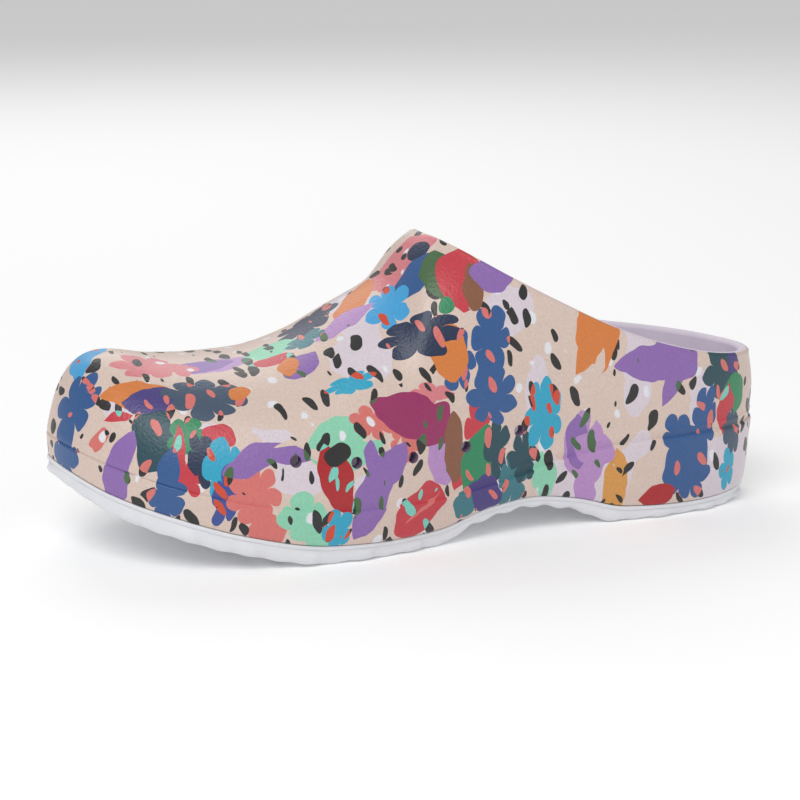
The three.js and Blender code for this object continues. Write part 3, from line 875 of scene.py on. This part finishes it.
def finishUpper():
    bm, stations, inner = buildUpper()
    surface = BVHTree.FromBMesh(bm)
    materials = [printedFoam(surface), bareFoam(), paintedVentShade()]
    piece = newPiece("printedUpper", bm, materials, "clog", "upper_shell")
    smooth = piece.modifiers.new("smooth", "SUBSURF")
    smooth.levels = smooth.render_levels = 1
    applyModifiers(piece)
    vents = ventPlaces(stations)
    cutWith(piece, ventCutters(vents))
    radius = upper["ventDiameter"] / 2 * mm
    # the faces of each vent's wall take the painted shade
    for face in piece.data.polygons:
        centre = face.center
        for place, out in vents:
            away = centre - place
            if (away - out * away.dot(out)).length < radius * 1.01 and abs(face.normal.dot(out)) < 0.3:
                face.material_index = 2
    piece.data.shade_smooth()
    piece.data.set_sharp_from_angle(angle=radians(45))
    return piece, stations, inner


upperPiece, upperStations, innerWall = finishUpper()
print("stage: upper", len(upperPiece.data.polygons), "faces")


outsole = {
    "rearRibs": 102,
    "frontRibs": 114,
    "seatGap": 0.3,
    "lipHeight": 1.5,
    "lip": [(0, -0.1), (0.4, 0), (0.55, 0.4), (0.55, 1), (0.35, 1.4)],  # how far out, how far down
    "side": [  # how far out, share of the way up to the lip, share of a lug's reach
        (0, 0.98, 0), (0, 0.8, 0.2), (0.1, 0.62, 0.9), (0.1, 0.42, 1), (0, 0.22, 0.9), (-0.3, 0.08, 0.5),
    ],
    "bottomInset": 1.2,
    "footInset": 0.6,  # the last rounding under the edge
    "firstLugRow": 7,
    "lipRows": 4,
    "lugPitch": 21,  # half-round lugs along the lower edge, painted pale as a painted highlight
    "lugWidth": 9,
    "lugProud": 1.1,
    "ripplePitch": 10.5,  # the arch's edge is rippled
    "rippleDepth": 1.1,
    "edgeRipple": 0.35,  # share of it elsewhere round the edge
    "treadPitch": 11,
    "treadWidth": 2.6,
    "treadDepth": 2,
    "treadSlant": 0.12,
    "treadMargin": 5,  # the grooves stop short of the edge
    "treads": [(-0.84, -0.04), (0.51, 0.93)],
    "floorSteps": 5,
}


def lugAt(s):  # 1 in the middle of a lug, 0 between them, and none under the arch
    along = s["along"] * outlineLength
    away = abs((along + outsole["lugPitch"] / 2) % outsole["lugPitch"] - outsole["lugPitch"] / 2)
    share = s["foot"].x / halfLength
    arch = smoothstep(share, -0.1, 0.02) * (1 - smoothstep(share, 0.45, 0.55))
    return (1 - smoothstep(away, 0.3 * outsole["lugWidth"], 0.5 * outsole["lugWidth"])) * (1 - arch)


def rippleAt(s):
    share = s["foot"].x / halfLength
    arch = smoothstep(share, -0.04, 0.06) * (1 - smoothstep(share, 0.42, 0.5))
    arch = max(arch, outsole["edgeRipple"])
    turns = s["along"] * outlineLength / outsole["ripplePitch"]
    return arch * outsole["rippleDepth"] * (1 - cos(turns * tau)) / 2


def outsoleRows(stations):
    rows = []
    for proud, drop in outsole["lip"]:
        row = []
        for s in stations:
            point = s["foot"] + s["out"] * proud
            point.z = seamAt(s["foot"].x) - outsole["seatGap"] - drop
            row.append(point)
        rows.append(row)
    for proud, share, reach in outsole["side"]:
        row = []
        for s in stations:
            x = s["foot"].x
            out = proud - (1 - share) ** 3 * outsole["bottomInset"] * toeFade(x) * 0.8
            point = s["foot"] + s["out"] * (out + reach * outsole["lugProud"] * lugAt(s))
            lipFoot = seamAt(x) - outsole["seatGap"] - outsole["lipHeight"]
            point.z = lerp(groundAt(x) + rippleAt(s), lipFoot, share)
            row.append(point)
        rows.append(row)
    foot = []
    for s in stations:
        point = s["foot"] - s["out"] * (outsole["bottomInset"] * toeFade(s["foot"].x) + outsole["footInset"])
        point.z = groundAt(point.x) + rippleAt(s)
        foot.append(point)
    rows.append(foot)
    return rows


def outsoleRubber():
    # pale thermoplastic rubber: soft sheen, with scuffs and dust; the lighter lip and lugs are a painted
    # highlight in a second material
    material, tree, shader = newMaterial("mouldedOutsoleRubber")
    place = node(tree, "TexCoord", out=3)
    cloud = node(tree, "TexNoise", {0: place}, {"Scale": 40.0, "Detail": 4.0})
    colour = node(
        tree, "Mix", {0: cloud}, {6: linear("#B0B2BB"), 7: linear("#BFC1C8")}, out=2, data_type="RGBA",
    )
    fine = node(tree, "TexNoise", {0: place}, {"Scale": 1 / (1.1 * mm), "Detail": 3.0})
    tree.links.new(colour, shader.inputs["Base Color"])
    bump = node(tree, "Bump", {"Height": fine}, {"Strength": 0.12, "Distance": 0.2 * mm})
    tree.links.new(bump, shader.inputs["Normal"])
    shader.inputs["Roughness"].default_value = 0.5
    return material


def paintedHighlightRubber():
    # the same rubber painted lighter at the lip and the lugs: a painted highlight where they catch the light
    material, tree, shader = newMaterial("paintedHighlightLipRubber")
    place = node(tree, "TexCoord", out=3)
    cloud = node(tree, "TexNoise", {0: place}, {"Scale": 90.0, "Detail": 3.0})
    colour = node(
        tree, "Mix", {0: cloud}, {6: linear("#DADBE0"), 7: linear("#E6E7EB")}, out=2, data_type="RGBA",
    )
    tree.links.new(colour, shader.inputs["Base Color"])
    shader.inputs["Roughness"].default_value = 0.42
    return material


def grooveCutters():
    bm = bmesh.new()
    pitch = outsole["treadPitch"]
    for start, end in outsole["treads"]:
        x = start * halfLength + pitch
        while x < end * halfLength - outsole["treadWidth"]:
            rise = groundAt(x + 0.5) - groundAt(x - 0.5)
            turn = Matrix.Rotation(outsole["treadSlant"], 4, "Z") @ Matrix.Rotation(-rise, 4, "Y")
            near = [p.y for p in outlinePoints if abs(p.x - x) < outsole["treadPitch"] / 2]
            inner = min(y for y in near if y > 0)
            outer = max(y for y in near if y < 0)
            width = inner - outer - 2 * outsole["treadMargin"]
            depth = 2 * outsole["treadDepth"]
            size = Matrix.Diagonal((outsole["treadWidth"] * mm, width * mm, depth * mm, 1))
            place = Matrix.Translation(placed(Vector((x, (inner + outer) / 2, groundAt(x)))))
            bmesh.ops.create_cube(bm, size=1, matrix=place @ turn @ size)
            x += pitch
    return bm


def finishOutsole():
    stations = stationsOf(outsole["rearRibs"], outsole["frontRibs"])
    rows = outsoleRows(stations)
    bm = bmesh.new()
    row = first = firstRow(bm, rows[0])
    lugVerts = set()
    for j, places in enumerate(rows[1:], 1):
        row = nextRow(bm, row, places)
        if j >= outsole["firstLugRow"]:
            lugVerts.update(v for v, s in zip(row, stations) if lugAt(s) > 0.3)
        # the lip rows take the lighter rubber, a painted highlight
        if j == outsole["lipRows"]:
            for face in bm.faces:
                face.material_index = 1
    # and so do the lugs' faces: painted highlight
    for face in bm.faces:
        if all(v in lugVerts for v in face.verts):
            face.material_index = 1
    steps = outsole["floorSteps"]
    for j in range(1, steps + 1):
        row = nextRow(bm, row, chordPlaces(rows[-1], j / steps, lambda x, across: groundAt(x)))
        first = nextRow(
            bm, first, chordPlaces(rows[0], j / steps, lambda x, across: seamAt(x) - outsole["seatGap"]),
        )
    bmesh.ops.remove_doubles(bm, verts=bm.verts[:], dist=0.02 * mm)
    bmesh.ops.dissolve_degenerate(bm, edges=bm.edges[:], dist=0.01 * mm)
    bmesh.ops.recalc_face_normals(bm, faces=bm.faces[:])
    piece = newPiece("treadedOutsole", bm, [outsoleRubber(), paintedHighlightRubber()], "clog", "outsole")
    cutWith(piece, grooveCutters())
    piece.data.shade_smooth()
    piece.data.set_sharp_from_angle(angle=radians(38))
    return piece


outsolePiece = finishOutsole()
print("stage: outsole", len(outsolePiece.data.polygons), "faces")


footbed = {
    "rearRibs": 34,
    "frontRibs": 38,
    "clearance": 1.9,
    "seatGap": 0.3,
    "foam": 6.5,
    "cover": 1.2,
    "heelCup": 4,
    "archRise": 5,
    "steps": 9,
    "foamRound": 1.4,
    "coverRound": 0.45,
}


def foamBottom(x, across=0):
    return floorAt(x) + footbed["seatGap"]


def foamTop(x, across):  # a bowl round the heel and a rise along the inner side under the arch
    share = x / halfLength
    heel = smoothstep(share, 0.2, 0.7)
    arch = smoothstep(share, -0.25, 0.15) * (1 - smoothstep(share, 0.35, 0.7))
    bowl = 1 - (1 - across ** 4) * (1 - smoothstep(share, 0.6, 0.97) ** 2)
    inner = max(across, 0) ** 2
    edgeRise = footbed["heelCup"] * heel * bowl + footbed["archRise"] * arch * inner
    return foamBottom(x) + footbed["foam"] + edgeRise


def coverBottom(x, across):
    return foamTop(x, across) + footbed["seatGap"]


def coverTop(x, across):
    return coverBottom(x, across) + footbed["cover"]


def layer(edge, bottomAt, topAt, rounding):  # a flat piece with rounded edges between two heights
    sides = [1 if i > len(edge) / 2 else -1 for i in range(len(edge))]
    inset = [p - s["out"] * rounding for p, s in zip(edge, upperStations)]
    half = [p - s["out"] * (0.3 * rounding) for p, s in zip(edge, upperStations)]

    def level(row, heightAt, drop):
        return [Vector((p.x, p.y, heightAt(p.x, w) + drop)) for p, w in zip(row, sides)]

    bm = bmesh.new()
    bottomEdge = level(inset, bottomAt, 0)
    topEdge = level(inset, topAt, 0)
    first = row = firstRow(bm, bottomEdge)
    for places in (
        level(half, bottomAt, 0.3 * rounding), level(edge, bottomAt, rounding),
        level(edge, topAt, -rounding), level(half, topAt, -0.3 * rounding), topEdge,
    ):
        row = nextRow(bm, row, places)
    steps = footbed["steps"]
    for j in range(1, steps + 1):
        share = j / steps
        row = nextRow(bm, row, chordPlaces(topEdge, share, topAt))
        first = nextRow(bm, first, chordPlaces(bottomEdge, share, bottomAt))
    bmesh.ops.remove_doubles(bm, verts=bm.verts[:], dist=0.02 * mm)
    bmesh.ops.dissolve_degenerate(bm, edges=bm.edges[:], dist=0.01 * mm)
    bmesh.ops.recalc_face_normals(bm, faces=bm.faces[:])
    return bm


def footbedFoam():
    # moulded polyurethane foam: matt, with fine open cells
    material, tree, shader = newMaterial("footbedPolyurethane")
    place = node(tree, "TexCoord", out=3)
    cells = node(tree, "TexNoise", {0: place}, {"Scale": 1 / (0.9 * mm), "Detail": 3.0})
    colour = node(
        tree, "Mix", {0: cells}, {6: linear("#B9AEC0"), 7: linear("#D6CDDB")}, out=2, data_type="RGBA",
    )
    tree.links.new(colour, shader.inputs["Base Color"])
    bump = node(tree, "Bump", {"Height": cells}, {"Strength": 0.3, "Distance": 0.3 * mm})
    tree.links.new(bump, shader.inputs["Normal"])
    shader.inputs["Roughness"].default_value = 0.85
    return material


def footbedTextile():
    # brushed microfibre: a soft sheen at grazing angles over a fine plain weave
    material, tree, shader = newMaterial("brushedMicrofibre")
    place = node(tree, "TexCoord", out=3)
    thread = 1.1  # millimetres, about twice the real thread so that the weave shows
    wales = node(
        tree, "TexWave", {0: place}, {"Scale": 1 / (3.2 * thread * mm), "Distortion": 0.4, "Detail": 1.0},
        bands_direction="X",
    )
    rows = node(
        tree, "TexWave", {0: place}, {"Scale": 1 / (3.2 * thread * mm), "Distortion": 0.4, "Detail": 1.0},
        bands_direction="Y",
    )
    weave = node(tree, "Math", {0: wales, 1: rows}, operation="MULTIPLY")
    cloud = node(tree, "TexNoise", {0: place}, {"Scale": 55.0, "Detail": 4.0})
    pale = node(
        tree, "Mix", {0: cloud}, {6: linear("#D8D0DC"), 7: linear("#E9E3EC")}, out=2, data_type="RGBA",
    )
    colour = node(
        tree, "Mix", {0: weave, 6: pale}, {7: linear("#F1ECF3")}, out=2, data_type="RGBA",
    )
    tree.links.new(colour, shader.inputs["Base Color"])
    bump = node(tree, "Bump", {"Height": weave}, {"Strength": 0.35, "Distance": 0.2 * mm})
    tree.links.new(bump, shader.inputs["Normal"])
    shader.inputs["Roughness"].default_value = 0.9
    shader.inputs["Sheen Weight"].default_value = 0.25
    shader.inputs["Sheen Roughness"].default_value = 0.5
    return material


def footbedEdge():  # clear of the wall both at its foot and at the cover's height
    edge = []
    for i, s in enumerate(upperStations):
        foot = innerWall[0][i]
        height = coverTop(foot.x, 1 if i > len(upperStations) / 2 else -1)
        row = max(next((j for j, r in enumerate(innerWall) if r[i].z > height), 1), 1)
        below, above = innerWall[row - 1][i], innerWall[row][i]
        beside = below.lerp(above, (height - below.z) / (above.z - below.z))
        leanIn = max((foot - beside).dot(s["out"]), 0)
        edge.append(foot - s["out"] * (footbed["clearance"] + leanIn))
    return edge


def finishFootbed():
    edge = footbedEdge()
    layers = (
        ("footbedCore", foamBottom, foamTop, "foamRound", "footbed_foam", "footbed_foam"),
        ("footbedTopCover", coverBottom, coverTop, "coverRound", "footbed_cover", "footbed_textile"),
    )
    finishes = (footbedFoam, footbedTextile)
    for (name, bottomAt, topAt, roundName, cadNode, slotName), finish in zip(layers, finishes):
        bm = layer(edge, bottomAt, topAt, footbed[roundName])
        area = sum(f.calc_area() for f in bm.faces if f.normal.z > 0.3)  # the upper side only
        piece = newPiece(name, bm, [finish()], "footbed", cadNode)
        smooth = piece.modifiers.new("smooth", "SUBSURF")
        smooth.levels = smooth.render_levels = 1
        applyModifiers(piece)
        piece.data.shade_smooth()


finishFootbed()
print("stage: footbed")
